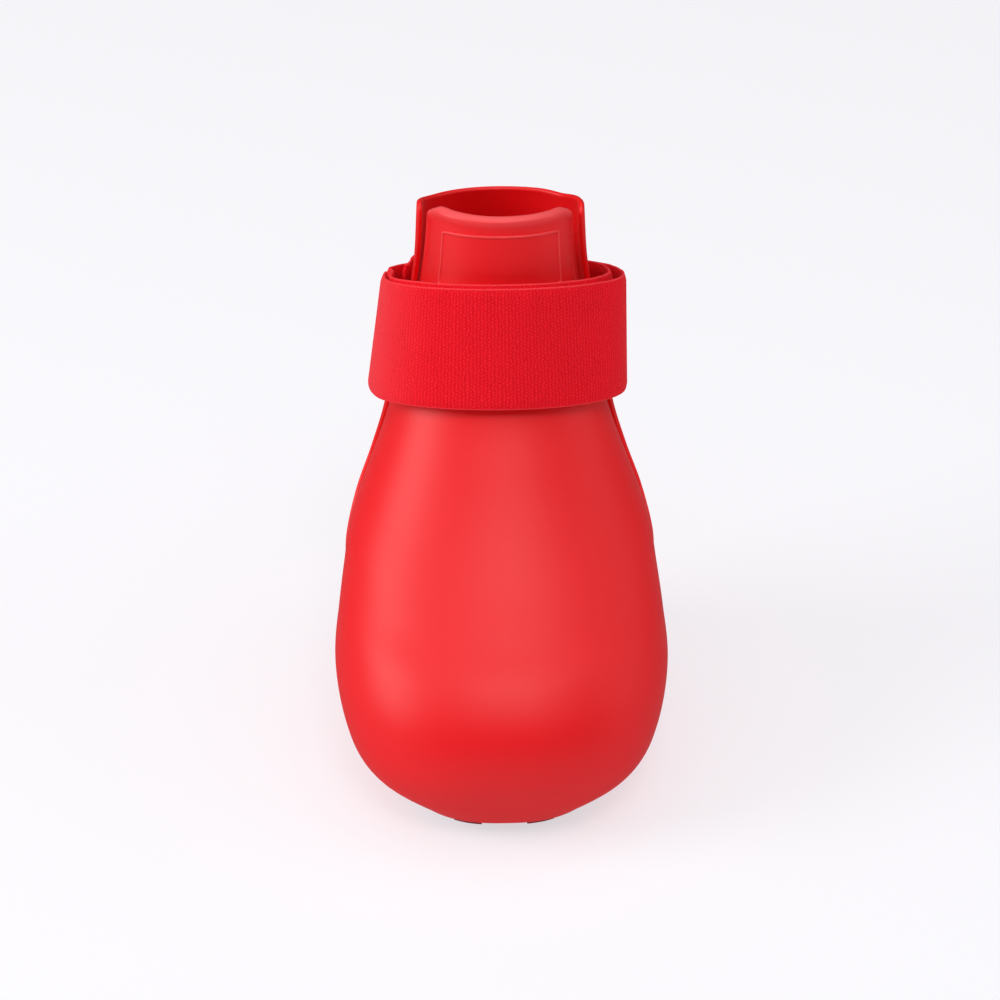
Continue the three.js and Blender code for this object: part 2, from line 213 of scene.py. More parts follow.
def close_seams(piece):
    """Merges points that lie on each other, drops faces with no area, and reports open edges."""
    shape = bmesh.new()
    shape.from_mesh(piece.data)
    bmesh.ops.remove_doubles(shape, verts=shape.verts, dist=MERGE)
    bmesh.ops.dissolve_degenerate(shape, edges=shape.edges, dist=MERGE)
    open_edges = sum(1 for e in shape.edges if not e.is_manifold)
    shape.to_mesh(piece.data)
    triangles = sum(len(f.verts) - 2 for f in shape.faces)
    shape.free()
    print(f"{piece.name}: {triangles} triangles, {open_edges} open edges")


def give_attribute(piece, name, values):
    """Stores a value or a vector on each point, for a material to read."""
    values = np.asarray(values, float)
    kind = "FLOAT_VECTOR" if values.ndim == 2 else "FLOAT"
    attribute = piece.data.attributes.new(name, kind, "POINT")
    key = "vector" if values.ndim == 2 else "value"
    attribute.data.foreach_set(key, values.astype(np.float32).ravel())


# %% [markdown]
# ## Building finishes with nodes
#
# Colours are written as the hex values a painter would pick, and the shader wants linear light,
# so one function turns them. One more adds a node with its settings and its links.

# %% Colours and nodes


def linear(hex_colour):
    """sRGB hex to linear light: divide by 12.92 near black, else a power of 2.4."""
    values = np.array([int(hex_colour[k:k + 2], 16) for k in (1, 3, 5)]) / 255
    light = np.where(values <= 0.04045, values / 12.92, ((values + 0.055) / 1.055) ** 2.4)
    return (*light.tolist(), 1.0)


def add(tree, kind, links=(), **settings):
    """Adds a node. A setting named after a socket fills it, any other is the node's own; links
    are pairs of an input's name or number and the output that feeds it."""
    node = tree.nodes.new("ShaderNode" + kind)
    for name, value in settings.items():
        socket = node.inputs.get(name.replace("_", " "))
        if socket is not None and not hasattr(node, name):
            socket.default_value = value
        else:
            setattr(node, name, value)
    for socket, source in links:
        tree.links.new(node.inputs[socket], source)
    return node


def new_material(name):
    """An empty finish with its shader and output; returns the material, its tree and shader."""
    material = bpy.data.materials.new(name)
    material.use_nodes = True
    tree = material.node_tree
    tree.nodes.clear()
    shader = add(tree, "BsdfPrincipled")
    add(tree, "OutputMaterial", [("Surface", shader.outputs["BSDF"])])
    return material, tree, shader


print("a bright red in linear light:", [round(v, 3) for v in linear("#f20511")[:3]])

# %% [markdown]
# ## Moulded silicone rubber
#
# The upper is soft rubber out of a polished and lightly blasted mould. It is satin: the light is
# spread wide but still shows where it comes from. Close up there is a grain of a few tenths of a
# millimetre, and over the whole piece the colour drifts a little. The roughness and the grain
# are kept shallow, because a deep bump would read as leather.

# %% The rubber finish
GRAIN_MM = 0.35      # size of the mould's grain
CLOUD_MM = 14        # size of the slow drift in colour
RIM_HIGHLIGHT_RED = "#ff5a5c"  # the paler red painted on rolled edges as a highlight


def rubber(name, base, pale, roughness, grain_depth=0.00002):
    """Two close reds mixed by a slow noise, with the mould's grain in the bump. Where the
    piece's own 'rim' attribute says so the red is paler, a highlight painted on the rolled edges."""
    material, tree, shader = new_material(name)
    place = add(tree, "TexCoord").outputs["Object"]
    cloud = add(tree, "TexNoise", [("Vector", place)], Scale=1 / (CLOUD_MM * MM), Detail=2.0)
    tint = add(tree, "Mix", [("Factor", cloud.outputs["Fac"])], data_type="RGBA")
    tint.inputs[6].default_value = linear(base)
    tint.inputs[7].default_value = linear(pale)
    # Painted highlight: the 'rim' attribute turns the red paler along rolled edges.
    rim = add(tree, "Attribute", attribute_name="rim").outputs["Fac"]
    rim_highlighted = add(tree, "Mix", [("Factor", rim), (6, tint.outputs[2])], data_type="RGBA")
    rim_highlighted.inputs[7].default_value = linear(RIM_HIGHLIGHT_RED)
    grain = add(tree, "TexNoise", [("Vector", place)], Scale=1 / (GRAIN_MM * MM), Detail=3.0)
    bump = add(tree, "Bump", [("Height", grain.outputs["Fac"])], Strength=0.5, Distance=grain_depth)
    satin = add(tree, "MapRange", [("Value", grain.outputs["Fac"])])
    satin.inputs["To Min"].default_value = roughness - 0.05
    satin.inputs["To Max"].default_value = roughness + 0.05
    tree.links.new(shader.inputs["Base Color"], rim_highlighted.outputs[2])
    tree.links.new(shader.inputs["Roughness"], satin.outputs["Result"])
    tree.links.new(shader.inputs["Normal"], bump.outputs["Normal"])
    shader.inputs["IOR"].default_value = 1.43
    shader.inputs["Specular IOR Level"].default_value = 0.60
    shader.inputs["Sheen Weight"].default_value = 0.10     # the powdery bloom seen edge on
    shader.inputs["Sheen Roughness"].default_value = 0.35
    shader.inputs["Sheen Tint"].default_value = linear("#ffb4b4")
    return material


upper_rubber = rubber("moulded silicone, upper", "#f20511", "#f50714", 0.47)
panel_rubber = rubber("moulded silicone, back panel", "#f2020a", "#f5040d", 0.46)
# The sole's red is darker than the upper's as painted shade, for the shadow that lies on the lugs
# under the boot.
sole_rubber_shaded = rubber("moulded silicone, sole", "#86030c", "#8e0810", 0.6)
print("rubber finishes:", "; ".join([upper_rubber.name, panel_rubber.name, sole_rubber_shaded.name]))

# %% [markdown]
# ## A rubber sheet with rolled edges
#
# The upper and the back panel are both sheets. Their free edges are half round, as the mould's
# parting line leaves them. A sheet's grid has evenly spaced lines in its middle, and lines that
# crowd towards an edge so that the roll is smooth. The wall's two faces are both moved from its
# middle surface, by half the wall in the open and by a circle's height near an edge, and they
# meet at the edge itself.

# %% Grid lines, round edges and round corners
ROLL_STEPS = 7       # grid lines in one quarter of a rolled edge


def edge_distances(roll, length, count):
    """Distances from an edge: crowded within the roll like points on a circle, then even."""
    turn = np.linspace(0, np.pi / 2, ROLL_STEPS + 1)
    near = np.broadcast_to(roll * (1 - np.cos(turn)), (*np.shape(length), ROLL_STEPS + 1))
    share = np.linspace(0, 1, count + 1)[1:]
    far = roll + (np.asarray(length)[..., None] - roll) * share
    return np.concatenate([near, far], axis=-1)


def half_wall(distance, wall):
    """Half the wall's thickness at a distance from the edge: the height of a circle whose
    diameter is the wall, and then level."""
    r = wall / 2
    inside = np.clip(distance / r, 0, 1)
    return r * np.sqrt(1 - (1 - inside) ** 2)


def round_corner(side, end, radius):
    """Bends the square corner of a grid into a quarter circle: with p and q the shares of the
    way out to the two edges, p becomes p times the root of 1 less half q squared, and q likewise.
    Returns the two new edge distances and the distance to the rounded outline."""
    p = 1 - side / radius
    q = 1 - end / radius
    corner = (p > 0) & (q > 0)
    p_new = np.where(corner, p * np.sqrt(1 - np.clip(q, 0, 1) ** 2 / 2), p)
    q_new = np.where(corner, q * np.sqrt(1 - np.clip(p, 0, 1) ** 2 / 2), q)
    outline = np.where(corner, radius * (1 - np.hypot(p_new, q_new)), np.minimum(side, end))
    return radius * (1 - p_new), radius * (1 - q_new), np.maximum(outline, 0)


print("rolled edge, distances in mm:", np.round(edge_distances(1.0, 20.0, 3), 2))

# %% [markdown]
# ## The upper
#
# In the mould the toe box, the sides, the low heel and the front flap are one piece of rubber,
# about 2 mm thick. Its edge at the back is a narrow throat that widens upwards, so that the leg
# can be pulled open. The grid runs round the boot from one side of that throat to the other. Low
# down the two sides meet, and there they are merged into a closed ring.

# %% The upper's grid
WALL = 2.0
THROAT_ROW = 2.0     # the throat begins here
FLAP_CORNER = 1.8    # radius at the very end of the flap's top edge
FLAP_DIP = 0.1       # how far the middle of its top edge dips below the collar, in mm
FLAP_SHOULDER = 12.3 # where the top edge starts to turn down, from the middle, in mm
SHOULDER_RADIUS = 2.0
FLAP_EARS = (0.62, 0.25)  # how much higher its left and right ears stand, in mm
FLAP_LEAN = 0.45     # how far its top leans to the right, in mm
FLAP_TAPER = 0.5     # how much narrower each side of it is at the top, in mm
LEAN_ROWS = (9.5, 12)    # the lean and the taper grow between these rows
RIM_WIDTH = 1.9      # the flap's edge is a thicker rounded rim
RIM_HEIGHT = 0.42
RIM_ROWS = (8, 10)   # the rim grows out of the plain edge between these rows
UPPER_ROWS = 125     # grid lines up the shaft
HEEL_ROWS = 18       # grid lines below the throat
UPPER_HALF = 90      # grid lines from the middle of the front to the throat
HEEL_ROW_MM = 7.0    # rough height of one row low down, to place the grid lines
SHAFT_ROW_MM = 11.0  # and in the shaft


def mm_per_row(row, angle):
    """Distance between the points a small step above and below, over the step."""
    d = 0.05
    return np.linalg.norm(form(row + d, angle) - form(row - d, angle), axis=-1) / (2 * d)


def mm_per_radian(row, angle):
    """Distance between the points a small turn to either side, over the turn."""
    d = 0.02
    return np.linalg.norm(form(row, angle + d) - form(row, angle - d), axis=-1) / (2 * d)


def flap_top(angle):
    """The row of the flap's top edge: a shallow parabola that is lowest in the middle and rises
    to the ears, and outside the shoulders a quarter circle that turns down."""
    across = np.abs(form(COLLAR_ROW, angle)[..., 0])
    dip = FLAP_DIP * (1 - np.clip(across / FLAP_SHOULDER, 0, 1) ** 2)
    turn = np.clip((across - FLAP_SHOULDER) / SHOULDER_RADIUS, 0, 0.95)
    ear = np.where(np.asarray(angle) < 0, *FLAP_EARS) * np.clip(across / FLAP_SHOULDER, 0, 1) ** 2
    rise = ear - dip - SHOULDER_RADIUS * (1 - np.sqrt(1 - turn**2))
    return COLLAR_ROW + rise / mm_per_row(COLLAR_ROW - 0.1, 0.0)


def lean(row, angle):
    """The flap's lean to the right and its taper, as a sideways shift that grows above the
    strap: a constant, less a share of the sine."""
    shift = smooth(*LEAN_ROWS, row) * (FLAP_LEAN - FLAP_TAPER * np.sin(angle))
    return np.asarray(shift)[..., None] * [1, 0, 0]


def upper_grid():
    """Rows, angles and edge distances of every point, from the sole's rim to the top edge."""
    heel = edge_distances(WALL / 2, THROAT_ROW * HEEL_ROW_MM, HEEL_ROWS)[::-1] / HEEL_ROW_MM
    shaft_mm = (COLLAR_ROW - THROAT_ROW) * SHAFT_ROW_MM
    shaft = edge_distances(WALL / 2, shaft_mm, UPPER_ROWS)[::-1] / SHAFT_ROW_MM
    row = np.concatenate([THROAT_ROW - heel[:-1], COLLAR_ROW - shaft])[:, None]
    throat = np.radians(np.minimum(section(row)["throat"], 180))
    reach = mm_per_radian(row, throat)
    from_edge = edge_distances(WALL / 2, (throat * reach)[:, 0], UPPER_HALF)
    side = np.concatenate([from_edge, from_edge[:, -2::-1]], axis=1)
    sign = np.concatenate([-np.ones(from_edge.shape[1]), np.ones(from_edge.shape[1] - 1)])
    top = flap_top(sign * (throat - side / reach))
    scale = mm_per_row(COLLAR_ROW - 0.1, throat)
    end = (COLLAR_ROW - row) * scale
    side_new, end_new, outline = round_corner(side, end, FLAP_CORNER)
    row_new = top - (end_new / scale) * top / COLLAR_ROW
    throat_new = np.radians(np.minimum(section(row_new)["throat"], 180))
    angle = sign * (throat_new - side_new / reach)
    below = np.maximum(THROAT_ROW - row, 0) * mm_per_row(row, np.pi)
    distance = np.where(below > 0, np.hypot(outline, below), outline)
    return row_new, angle, distance


rows, angles, distances = upper_grid()
thick = half_wall(distances, WALL)
rim = RIM_HEIGHT * smooth(0, RIM_WIDTH / 2, distances)
rim = rim * smooth(RIM_WIDTH, RIM_WIDTH * 0.6, distances) * smooth(*RIM_ROWS, rows)
outer = skin(rows, angles, thick - WALL / 2 + rim) + lean(rows, angles)
inner = skin(rows, angles, -thick - WALL / 2) + lean(rows, angles)
print("upper grid:", rows.shape, "rows", round(rows.min(), 2), "to", round(rows.max(), 2))

# %% Closing the upper


def sheet_faces(rows, columns):
    """Both faces of a sheet whose points are stored outer grid first, and a strip that closes
    the first row."""
    start = rows * columns
    low = np.arange(columns - 1)
    strip = np.stack([low, start + low, start + low + 1, low + 1], axis=-1)
    outside = grid_faces(rows, columns)
    return np.concatenate([outside, grid_faces(rows, columns, start, True), strip])


upper = new_piece("upper_shell", np.stack([outer, inner]), sheet_faces(*rows.shape),
                  upper_rubber, ["upper"])
# Painted highlight: the flap's rolled edge and rim are painted paler, and the inner face less so.
painted_edge_highlight = 0.55 * smooth(1.0, 0.4, distances) + 0.35 * smooth(RIM_WIDTH, 1.2, distances)
give_attribute(upper, "rim", np.stack([painted_edge_highlight, 0.3 * painted_edge_highlight]) * smooth(*RIM_ROWS, rows))
close_seams(upper)

# %% [markdown]
# ## The raised frame on the flap
#
# The flap carries a thin raised line in the shape of a rectangle with its upper and lower sides
# curved like the collar. It is part of the same moulding. Here it is a low half-round bead, made
# by carrying a small arch along the rectangle's outline, which lies on the flap's own surface.
# The space inside it is left bare.

# %% The raised frame
FRAME_HALF_ANGLE = 52     # degrees either side of the middle
FRAME_ROWS = (10.88, 11.70)   # rows of its lower and its upper side
FRAME_CORNER = 0.035      # share of the outline's half size taken by a rounded corner
BEAD_WIDTH = 0.6
BEAD_HEIGHT = 0.32
BEAD_FOOT = 0.05          # how far its feet lie under the flap's surface
BEAD_HIGHLIGHT = 0.4           # how far its colour goes towards the painted highlight red of the rims


def rounded_rectangle(count):
    """A square from -1 to 1 with rounded corners, walked at even steps of its angle: each point
    is pushed out until the larger of its coordinates, softened by a high power, is 1."""
    turn = np.linspace(0, 2 * np.pi, count, endpoint=False)
    c, s = np.cos(turn), np.sin(turn)
    power = 1 / FRAME_CORNER
    size = (np.abs(c) ** power + np.abs(s) ** power) ** (-1 / power)
    return c * size, s * size


def raised_frame():
    """The outline on the flap, and an arch across it: width from its cosine, height from its
    sine, with both feet just under the surface."""
    across, up = rounded_rectangle(720)
    angle = np.radians(FRAME_HALF_ANGLE) * across
    low, high = FRAME_ROWS
    row = low + (high - low) * (up + 1) / 2
    path = form(row, angle) + lean(row, angle)
    tangent = np.roll(path, -1, axis=0) - np.roll(path, 1, axis=0)
    outward = skin(row, angle, np.ones_like(row)) + lean(row, angle) - path
    sideways = np.cross(tangent, outward)
    sideways /= np.linalg.norm(sideways, axis=-1, keepdims=True)
    arch = np.linspace(0, np.pi, 9)
    wide = np.cos(arch)[None, :, None] * sideways[:, None, :] * BEAD_WIDTH / 2
    tall = (np.sin(arch) * BEAD_HEIGHT - BEAD_FOOT)[None, :, None] * outward[:, None, :]
    points = path[:, None, :] + wide + tall
    return np.concatenate([points, points[:1]], axis=0)


bead = raised_frame()
bead_rows, bead_columns = bead.shape[:2]
underside = np.stack([bead[:, 0], bead[:, -1]], axis=1)
bead_faces = np.concatenate([
    grid_faces(bead_rows, bead_columns, flip=True),
    grid_faces(bead_rows, 2, start=bead_rows * bead_columns),
])
bead_points = np.concatenate([bead.reshape(-1, 3), underside.reshape(-1, 3)])
flap_frame = new_piece("flap_frame", bead_points, bead_faces, upper_rubber)
# Painted highlight: the whole bead is painted paler than the flap.
give_attribute(flap_frame, "rim", np.full(len(bead_points), BEAD_HIGHLIGHT))
close_seams(flap_frame)

# %% [markdown]
# ## The back panel
#
# The back panel is a thinner rubber sheet that lies outside the upper, from low on the heel up
# to the collar. It stands off the upper by about half a millimetre, a little more at the right,
# where its front edge springs away from the side. All four of its edges are rolled. Its left
# top corner stands up slightly as an ear, and the right one hardly does.

# %% The back panel
PANEL_WALL = 1.2
PANEL_GAP = 0.55     # how far it stands off the upper
PANEL_SPLAY = 0.2    # and how much more at the right than in the middle
PANEL_OPENING = 0.85 # extra stand-off of its right side above the strap
PANEL_TOP_ROW = 11.95
PANEL_LOW_ROW = 0.45
PANEL_ROW_MM = 10.0  # rough height of one row, to place the grid lines
PANEL_CORNER = 2.8
PANEL_EAR = 0.09     # height of the ears, in rows
PANEL_ROWS = 130
PANEL_HALF = 60      # grid lines from the middle of the back to a front edge


def panel_grid():
    """Rows, angles and edge distances, from the lower edge up and from front edge to front edge
    round the back. Both halves are the same grid, turned over. The left ear falls away evenly
    over 11 mm, and the right one is about half as high, with a slight dip beside it."""
    length = (PANEL_TOP_ROW - PANEL_LOW_ROW) * PANEL_ROW_MM
    from_end = edge_distances(PANEL_WALL / 2, length / 2, PANEL_ROWS // 2)
    climb = np.concatenate([from_end, length - from_end[-2::-1]]) / length
    row = (PANEL_LOW_ROW + (PANEL_TOP_ROW - PANEL_LOW_ROW) * climb)[:, None]
    edge = np.radians(section(row)["panel"])
    reach = mm_per_radian(row, edge)
    from_edge = edge_distances(PANEL_WALL / 2, ((np.pi - edge) * reach)[:, 0], PANEL_HALF)
    side = np.concatenate([from_edge, from_edge[:, -2::-1]], axis=1)
    second = np.arange(side.shape[1]) >= from_edge.shape[1]
    scale = mm_per_row(row, edge)
    high = (PANEL_TOP_ROW - row) * mm_per_row(COLLAR_ROW - 0.1, edge)
    low = (row - PANEL_LOW_ROW) * mm_per_row(PANEL_LOW_ROW, edge)
    end = np.minimum(high, low)
    side_new, end_new, outline = round_corner(side, end, PANEL_CORNER)
    shift = (end - end_new) / scale
    row_new = row + np.where(high < low, shift, -shift)
    edge_new = np.radians(section(row_new)["panel"])
    angle = edge_new + side_new / reach
    angle = np.where(second, 2 * np.pi - angle, angle)
    left_ear = PANEL_EAR * smooth(11, 0, side)
    right_ear = PANEL_EAR * (0.55 * smooth(11, 5, side) - 0.25 * smooth(15, 10, side))
    ear = np.where(second, left_ear, right_ear) * smooth(PANEL_LOW_ROW, PANEL_TOP_ROW, row) ** 6
    return row_new + ear, angle, outline


rows, angles, distances = panel_grid()
thick = half_wall(distances, PANEL_WALL)
opening = PANEL_OPENING * smooth(8, 10.5, rows) * np.clip(np.sin(angles), 0, 1) ** 2
middle = PANEL_GAP + PANEL_SPLAY * np.sin(angles) + opening + PANEL_WALL / 2
panel_points = np.stack([skin(rows, angles, middle + thick), skin(rows, angles, middle - thick)])
panel = new_piece("back_panel_sheet", panel_points, sheet_faces(*rows.shape),
                  panel_rubber, ["back_panel"])
close_seams(panel)

# %% [markdown]
# ## The outsole
#
# The outsole is a thin plate that closes the upper underneath, with low lugs in two rings round
# the forefoot and the heel. Its outline is the upper's own lower rim. Its underside is one polar
# grid: every point knows its share of the way out to the outline and its angle, and a lug is
# where both lie between a lug's limits.

# %% The outsole
LUG_HEIGHT = 1.2
PLATE = 1.6          # thickness of the plate
SOLE_INSET = 1.4     # the plate's upper edge lies this far inside the upper's rim
SOLE_TUCK = 3.4      # and its lower edge this far
SOLE_CENTRE_Y = -2   # the rings' centre, in the table's own measure
LUG_EDGE = 0.25      # width of a lug's sloping side, in mm
SOLE_ROUND = 541     # grid lines round the sole
SOLE_RINGS = 110     # rings from its middle to its edge
LUGS = [             # centre, span, inner, outer: degrees, and shares of the outline
    (16.6, 16.8, 0.80, 0.90),
    (42, 18, 0.80, 0.90),
    (66, 18, 0.80, 0.90),
    (30, 24, 0.52, 0.64),
    (66, 24, 0.52, 0.64),
    (40, 50, 0.22, 0.36),
    (132, 18, 0.80, 0.90),
    (158, 20, 0.80, 0.90),
    (145, 30, 0.52, 0.66),
]


def sole_point(angle, share, inset, height):
    """A share of the way from the sole's centre to the upper's rim, less an inset, at a height
    above the lifted ground."""
    rim = form(0.0, angle)
    out = rim[..., :2] - [0, SOLE_CENTRE_Y - MIDDLE_Y]
    size = np.linalg.norm(out, axis=-1)
    out = out * (share * (size - inset) / size)[..., None]
    y = out[..., 1] + SOLE_CENTRE_Y
    return np.stack([out[..., 0], y - MIDDLE_Y, height + lift(y)], axis=-1)


def lug_depth(angle, share):
    """How far the underside stands down at a place: the lug's height, times a soft step across
    each of its four sides."""
    size = np.linalg.norm(form(0.0, angle)[..., :2] - [0, SOLE_CENTRE_Y - MIDDLE_Y], axis=-1)
    degrees = np.abs((np.degrees(angle) + 180) % 360 - 180)
    depth = np.zeros(np.broadcast(angle, share).shape)
    for centre, span, inside, outside in LUGS:
        along = (span / 2 - np.abs(degrees - centre)) * np.radians(1) * share * size
        across = np.minimum(share - inside, outside - share) * size
        slope = (-LUG_EDGE / 2, LUG_EDGE / 2)
        depth = np.maximum(depth, smooth(*slope, along) * smooth(*slope, across))
    return LUG_HEIGHT * depth


angle = np.linspace(0, 2 * np.pi, SOLE_ROUND)[None, :]
share = np.linspace(0, 1, SOLE_RINGS)[1:, None]
size = np.linalg.norm(form(0.0, angle)[..., :2] - [0, SOLE_CENTRE_Y - MIDDLE_Y], axis=-1)
tuck = size - SOLE_TUCK
under_share = share * tuck / size
under = sole_point(angle, share, SOLE_TUCK, LUG_HEIGHT - lug_depth(angle, under_share))
roll = np.linspace(0, np.pi / 2, 9)[1:, None]
edge_inset = SOLE_INSET + (SOLE_TUCK - SOLE_INSET) * (1 - np.sin(roll))
edge = sole_point(angle, np.ones_like(roll), edge_inset, LUG_HEIGHT + PLATE * (1 - np.cos(roll)))
over_share = np.linspace(1, 0, 40)[1:-1, None]
over = sole_point(angle, over_share, SOLE_INSET, LUG_HEIGHT + PLATE)
sole_grid = np.concatenate([under, edge, over])
print("outsole grid:", sole_grid.shape)

# %% Closing the outsole


def fans(rows, columns):
    """Triangles from a middle point to the first and the last row of a grid."""
    k = np.arange(columns - 1)
    last = (rows - 1) * columns
    first = np.stack([k + 1, k, np.full(columns - 1, rows * columns)], axis=-1)
    end = np.stack([last + k, last + k + 1, np.full(columns - 1, rows * columns + 1)], axis=-1)
    return first.tolist() + end.tolist()


sole_points = np.concatenate([
    sole_grid.reshape(-1, 3),
    [sole_grid[0, :-1].mean(axis=0), sole_grid[-1, :-1].mean(axis=0)],
])
sole_faces = np.array(grid_faces(*sole_grid.shape[:2]).tolist() + fans(*sole_grid.shape[:2]),
                      dtype=object)
outsole = new_piece("sole_plate", sole_points, sole_faces,
                    sole_rubber_shaded, ["outsole"])
close_seams(outsole)

# %% [markdown]
# ## Woven strap
#
# The strap is polyester loop tape, the soft half of a touch fastener: a tight weave whose face is
# raised into small loops. Its thread columns are under a millimetre apart, with the loops staggered
# from one column to the next, and a plain selvedge runs along both edges. The pattern has to
# follow the band round the leg, so it reads an attribute that holds millimetres along and across
# the band. A little sheen stands for the fuzz of loop ends that catches light at grazing angles.

# %% The webbing finish
COLUMN_MM = 0.69     # distance between thread columns
LOOP_MM = 0.69       # distance between loops in one column
SELVEDGE_MM = 0.35   # width of the plain edge
FUZZ_MM = 0.3        # size of the fuzz that breaks up the weave
STRAY_MM = 1.3       # distance over which the threads wander
STRAY_BY = 0.85      # how far they wander, in mm
STAGGER = 0.45       # share of the loops' height that alternates along a column
FUZZ_SHARE = 1.4     # height of the fuzz against the loops
HEIGHTS = (0.4, 1.8) # from the deepest hollow to the top of a loop, fuzz included
DRIFT_PER_MM = 0.12  # waves per mm in the slow drift of the shade
SHEEN_PAINT_MM = 28      # a paler red is painted as sheen this far from the free end
BAND_MM = 24.2       # width of the band


def webbing(name, base, hollow, edge, painted_sheen_red):
    """Loop height = a column's rounded ridge, which is the size of a sine, plus the product of
    that sine and one along the column. The sign of the first moves the loops by half a step from
    column to column. The colour goes from a hollow's darker red, which is painted shade, to a
    loop's, to the selvedge's paler red, partly plain thread and partly a painted highlight on the
    rolled edge, and to a paler red painted as sheen near the free end."""
    material, tree, shader = new_material(name)
    weave = add(tree, "Attribute", attribute_name="weave").outputs["Vector"]
    fuzz = add(tree, "TexNoise", [("Vector", weave)], Scale=1 / FUZZ_MM, Detail=3.0)
    drift = add(tree, "TexNoise", [("Vector", weave)], Scale=DRIFT_PER_MM, Detail=1.0)
    stray = add(tree, "TexNoise", [("Vector", weave)], Scale=1 / STRAY_MM, Detail=1.0)
    shift = add(tree, "VectorMath", [(0, stray.outputs["Color"])], operation="SCALE")
    shift.inputs["Scale"].default_value = STRAY_BY
    moved = add(tree, "VectorMath", [(0, weave), (1, shift.outputs[0])], operation="ADD")
    split = add(tree, "SeparateXYZ", [("Vector", moved.outputs[0])])
    sines = []
    for axis, pitch in (("X", COLUMN_MM), ("Y", LOOP_MM / 2)):
        turn = add(tree, "Math", [(0, split.outputs[axis])], operation="MULTIPLY")
        turn.inputs[1].default_value = math.pi / pitch
        sines.append(add(tree, "Math", [(0, turn.outputs[0])], operation="SINE").outputs[0])
    stagger = add(tree, "Math", [(0, sines[0]), (1, sines[1])], operation="MULTIPLY")
    ridge = add(tree, "Math", [(0, sines[0])], operation="ABSOLUTE")
    loops = add(tree, "Math", [(0, stagger.outputs[0]), (2, ridge.outputs[0])],
                operation="MULTIPLY_ADD")
    loops.inputs[1].default_value = STAGGER
    straight = add(tree, "SeparateXYZ", [("Vector", weave)])
    steps = []
    for start, end in ((SELVEDGE_MM * 0.6, SELVEDGE_MM),
                       (BAND_MM - SELVEDGE_MM * 0.6, BAND_MM - SELVEDGE_MM)):
        step = add(tree, "MapRange", [("Value", straight.outputs["Y"])],
                   interpolation_type="SMOOTHSTEP")
        step.inputs["From Min"].default_value = start
        step.inputs["From Max"].default_value = end
        steps.append(step.outputs[0])
    inside = add(tree, "Math", [(0, steps[0]), (1, steps[1])], operation="MULTIPLY")
    height = add(tree, "Math", [(0, loops.outputs[0]), (1, inside.outputs[0])],
                 operation="MULTIPLY")
    rough = add(tree, "Math", [(0, fuzz.outputs["Fac"]), (2, height.outputs[0])],
                operation="MULTIPLY_ADD")
    rough.inputs[1].default_value = FUZZ_SHARE
    level = add(tree, "MapRange", [("Value", rough.outputs[0])])
    level.inputs["From Min"].default_value = HEIGHTS[0]
    level.inputs["From Max"].default_value = HEIGHTS[1]
    # Painted shade: the red darkens from the loop tops into the hollows between them.
    woven = add(tree, "Mix", [("Factor", level.outputs[0])], data_type="RGBA")
    woven.inputs[6].default_value = linear(hollow)
    woven.inputs[7].default_value = linear(base)
    # Painted sheen: a paler red near the free end, where light from the left grazes the loops.
    painted_sheen_mask = add(tree, "MapRange", [("Value", straight.outputs["X"])],
                  interpolation_type="SMOOTHSTEP")
    limits = {"From Min": 2, "From Max": SHEEN_PAINT_MM, "To Min": 0.75, "To Max": 0}
    for socket, value in limits.items():
        painted_sheen_mask.inputs[socket].default_value = value
    face = add(tree, "Mix", [("Factor", painted_sheen_mask.outputs[0]), (6, woven.outputs[2])],
               data_type="RGBA")
    face.inputs[7].default_value = linear(painted_sheen_red)
    # The selvedge's paler red is partly its plain thread and partly a painted highlight on the
    # rolled edge.
    whole = add(tree, "Mix", [("Factor", inside.outputs[0])], data_type="RGBA")
    whole.inputs[6].default_value = linear(edge)
    tree.links.new(whole.inputs[7], face.outputs[2])
    cloud = add(tree, "Mix", [("Factor", drift.outputs["Fac"]), (6, whole.outputs[2])],
                data_type="RGBA", blend_type="MULTIPLY")
    cloud.inputs[7].default_value = (0.92, 0.92, 0.92, 1)
    bump = add(tree, "Bump", [("Height", rough.outputs[0])], Strength=0.5, Distance=0.00015)
    tree.links.new(shader.inputs["Base Color"], cloud.outputs[2])
    tree.links.new(shader.inputs["Normal"], bump.outputs["Normal"])
    shader.inputs["Roughness"].default_value = 0.85
    shader.inputs["IOR"].default_value = 1.5
    shader.inputs["Specular IOR Level"].default_value = 0.12
    shader.inputs["Sheen Weight"].default_value = 0.10
    shader.inputs["Sheen Roughness"].default_value = 0.28
    shader.inputs["Sheen Tint"].default_value = linear("#ff8080")
    return material


# The reds: loops, hollows painted darker as shade, selvedge partly a painted highlight, and a
# painted sheen near the free end.
loop_webbing = webbing("woven polyester loop tape", "#ff1c30", "#de0004", "#ff3a44", "#f84a52")
print("webbing finish:", loop_webbing.name)

# %% [markdown]
# ## Winding the strap
#
# The strap goes nearly twice round the shaft. It is carried along a path: the angle runs on from
# the cut end at one side, round the front, round the back, and then a second time inside the
# first turn. A table gives the half width of the winding at the band's two edges and how far
# inside the outer turn it lies. The band leans back with the shaft, and its section is a thin
# bar with round edges.

